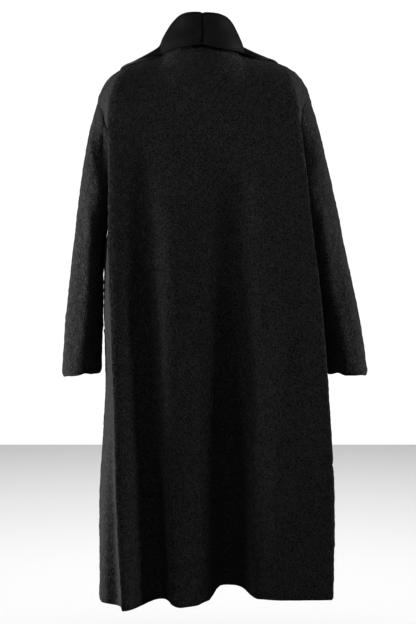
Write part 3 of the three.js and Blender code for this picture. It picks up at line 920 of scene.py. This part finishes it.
def sleeveRelief(u, v, point):
    angle = u * 2 * math.pi
    turn = math.atan2(math.sin(angle), math.cos(angle))
    return strokeDepth(sleevePiece["creases"], turn * sleevePiece["arc"], (1 - v) * sleevePiece["length"])


def makeSleeve(sign, looks):
    piece = makeCloth(
        f"cloth_sleeve_{sideOf(sign)}",
        lambda u, v: sleevePoint(sign, sign * u * 2 * math.pi, 1 - v),
        even(sleevePiece["around"]),
        even(sleevePiece["rows"]),
        looks,
        lambda u, v, point: sleeveRelief(sign * u, v, point),
        sewn=(("vHigh", 1.8, 6),),
        rolled=(("vLow", -1.0, 18), ("vLow", 3.0, 4)),
        tube=True,
    )
    dress(
        piece, f"sleeve_{sideOf(sign)}", "boucle",
        flat=sleevePiece["cut"], area=sleevePiece["area"], held="hung",
        rests_on=["back", f"front_{sideOf(sign)}"],
    )
    return piece


# Shawl collar: q runs along the neck seam, 0 to 1 from the middle of the back to the shoulder
# and 1 to 2 down the front's edge to the break point. A height of 1 is the shoulder line, and
# above 1 is that far down the back.

collarPiece = {
    "along": (30, 46),
    "across": 44,
    "cut": (0.74, 0.19),
    "area": 0.095,
    "roll": 8,
    "breakRow": 0.75,  # share of the skirt's height where the collar ends
    "edges": {
        "left": rows(
            "q lean rise reach height lift",
            (0, -14, 60, 0, 1.064, 12),
            (0.25, -13, 60, 0.08, 1.072, 11),
            (0.5, -2, 48, 0.195, 1.082, 9.5),
            (0.75, -4, 26, 0.37, 1.071, 7.5),
            (1, -6, 13, 0.595, 1, 4.4),
            (1.16, -5, 12, 0.7, 0.87, 8),
            (1.4, -3, 12, 0.72, 0.735, 9),
            (1.7, -3, 10, 0.48, 0.62, 9),
            (2, -4, 8, 0.14, 0.535, 8),
        ),
        "right": rows(
            "q lean rise reach height lift",
            (0, -14, 60, 0, 1.064, 12),
            (0.25, -12, 58, 0.053, 1.079, 11),
            (0.5, -2, 46, 0.171, 1.081, 9.5),
            (0.75, -3, 17, 0.342, 1.074, 7),
            (1, -4, 9, 0.485, 1, 4.4),
            (1.16, -4, 12, 0.66, 0.87, 8),
            (1.4, -3, 12, 0.7, 0.735, 9),
            (1.7, -3, 10, 0.48, 0.62, 9),
            (2, -4, 8, 0.14, 0.535, 8),
        ),
    },
}
breakShare = underarmShare * collarPiece["breakRow"]


def neckEdge(sign, q):
    if q <= 1:
        return backPoint(sign, q * neckShare, 1)
    return frontPoint(sign, 1, mix(1, breakShare, q - 1))


# The panel that a place on the collar lies over, at a reach from the neck seam.
def panelPoint(sign, q, reach, h):
    if q > 1:
        return frontPoint(sign, 1 - reach, min(h, 1))
    return backPoint(sign, q * neckShare + columnAt(reach) * (1 - neckShare), min(h, 1))


def panelNormal(sign, q, reach, h):
    out = sign if q > 1 else -sign
    return normalOf(lambda u, v: panelPoint(sign, q, u, v), reach, min(h, 0.998)) * out


# Up from the seam, over the roll, and down over the panel to the free edge
@functools.lru_cache(maxsize=None)
def collarColumn(sign, q):
    row = {
        column: lookUp(collarPiece["edges"][sideOf(sign)], "q", column, q)
        for column in ("lean", "rise", "reach", "height", "lift")
    }
    edge = neckEdge(sign, q)
    seamHeight = mix(1, breakShare, q - 1) if q > 1 else 1
    up = panelNormal(sign, q, 0, seamHeight)
    run = neckEdge(sign, q + 1e-3) - neckEdge(sign, q - 1e-3)
    off = run.cross(up).normalized() * sign
    lean, rise, lift = row["lean"], row["rise"], row["lift"]
    start = cloth["thick"] / 2 + cloth["seamGap"]
    roll = min(collarPiece["roll"], rise * 0.55)

    def place(offEdge, height):
        return edge + off * offEdge + up * height

    def over(down):
        reach, height = row["reach"] * down, mix(seamHeight, row["height"], down)
        height = height if q > 1 else 2 - height
        stand = mix(rise - roll / 2, lift, down ** 0.7)
        return panelPoint(sign, q, reach, height) + panelNormal(sign, q, reach, height) * stand

    return [
        place(start, -cloth["thick"] / 2),
        place(start + lean * 0.3 + roll * 0.4, rise * 0.45),
        place(start + lean + roll, rise - roll * 0.6),
        place(start + lean, rise),
        place(start + lean - roll, rise - roll * 0.6),
        over(0.4),
        over(0.7),
        over(1),
    ]


def collarPoint(sign, q, share):
    points = collarColumn(sign, q)
    point = curveThrough(points, share * (len(points) - 1))
    point.x += sign * cloth["seamGap"] / 2
    return point


def makeCollar(sign, looks):
    back, front = collarPiece["along"]
    along = even(back) + even(front, 1, 2)[1:]
    middle, sewn = ("uLow", "vLow") if sign > 0 else ("uHigh", "vLow")
    steps = along if sign > 0 else [2 - q for q in reversed(along)]
    piece = makeCloth(
        f"cloth_collar_{sideOf(sign)}",
        lambda u, v: collarPoint(sign, u if sign > 0 else 2 - u, v),
        steps,
        even(collarPiece["across"]),
        looks,
        sewn=((middle, 2.2, 3.2), (sewn, 1.0, 4)),
        rolled=(("vHigh", -0.7, 3.5),),
        lumpy=0.25,
    )
    dress(
        piece, f"collar_{sideOf(sign)}", "smooth_cloth",
        flat=collarPiece["cut"], area=collarPiece["area"], held="folded",
        rests_on=["back", f"front_{sideOf(sign)}"],
    )
    return piece


# Patch pockets: on the front's own points moved out, with the mouth a little proud

pocketPiece = {
    "columns": 44,
    "rows": 44,
    "near": 1 / 15,  # shares of the front's width
    "far": 0.6,
    "bottomRow": 5 / 12,  # shares of the skirt's height
    "topRow": 8 / 12,
    "stand": 3.4,
    "cut": (0.18, 0.22),
    "area": 0.0375,
}


def makePocket(sign, looks):
    near, far = pocketPiece["near"], pocketPiece["far"]
    bottom, top = (pocketPiece[name] * underarmShare for name in ("bottomRow", "topRow"))

    def point(side, share, h):
        out = normalOf(lambda u, v: frontPoint(side, u, v), share, h) * -side
        across = clamp((share - near) / (far - near))
        stand = pocketPiece["stand"] * smooth((h - bottom) / (top - bottom)) * math.sin(math.pi * across)
        return frontPoint(side, share, h) + out * (cloth["thick"] + cloth["seamGap"] + stand)

    piece = makeCloth(
        f"cloth_pocket_{sideOf(sign)}",
        onFront(sign, point),
        turned(sign, even(pocketPiece["columns"], near, far)),
        even(pocketPiece["rows"], bottom, top),
        looks,
        sewn=(("uLow", 1.0, 4), ("uHigh", 1.0, 4), ("vLow", 1.0, 4)),
        rolled=(("vHigh", -1.2, 14),),
    )
    dress(
        piece, f"pocket_{sideOf(sign)}", "boucle",
        flat=pocketPiece["cut"], area=pocketPiece["area"], held="laid", rests_on=[f"front_{sideOf(sign)}"],
    )
    return piece


def makeFloor():
    bm = bmesh.new()
    bmesh.ops.create_grid(bm, x_segments=1, y_segments=1, size=studio["floorSize"] / 2)
    for vert in bm.verts:
        vert.co.z = studio["floorHeight"]
    mesh = bpy.data.meshes.new("floor")
    bm.to_mesh(mesh)
    bm.free()
    floor = bpy.data.objects.new("floor", mesh)
    scene.collection.objects.link(floor)
    shader = Shader(bpy.data.materials.new("pale floor"))
    mesh.materials.append(shader.finish({"Base Color": (*studio["floorColour"], 1), "Roughness": 0.9}))
    floor.visible_diffuse = False  # it throws no light back on the coat
    floor.visible_glossy = False
    return floor


print("stage: camera and studio")
setCamera()
setWorld()
setLights(makeFloor())
print("stage: materials")
boucle = boucleMaterial("black boucle", boucleLook)
smoothCloth = smoothMaterial("smooth black cloth", smoothLook)
print("stage: cloth")
makeBack([boucle, smoothCloth])
for sign in (1, -1):
    makeFront(sign, [boucle, smoothCloth])
    makeSleeve(sign, [boucle, smoothCloth])
    makePocket(sign, [boucle, smoothCloth])
    makeCollar(sign, [smoothCloth, boucle])

print("stage: finished")
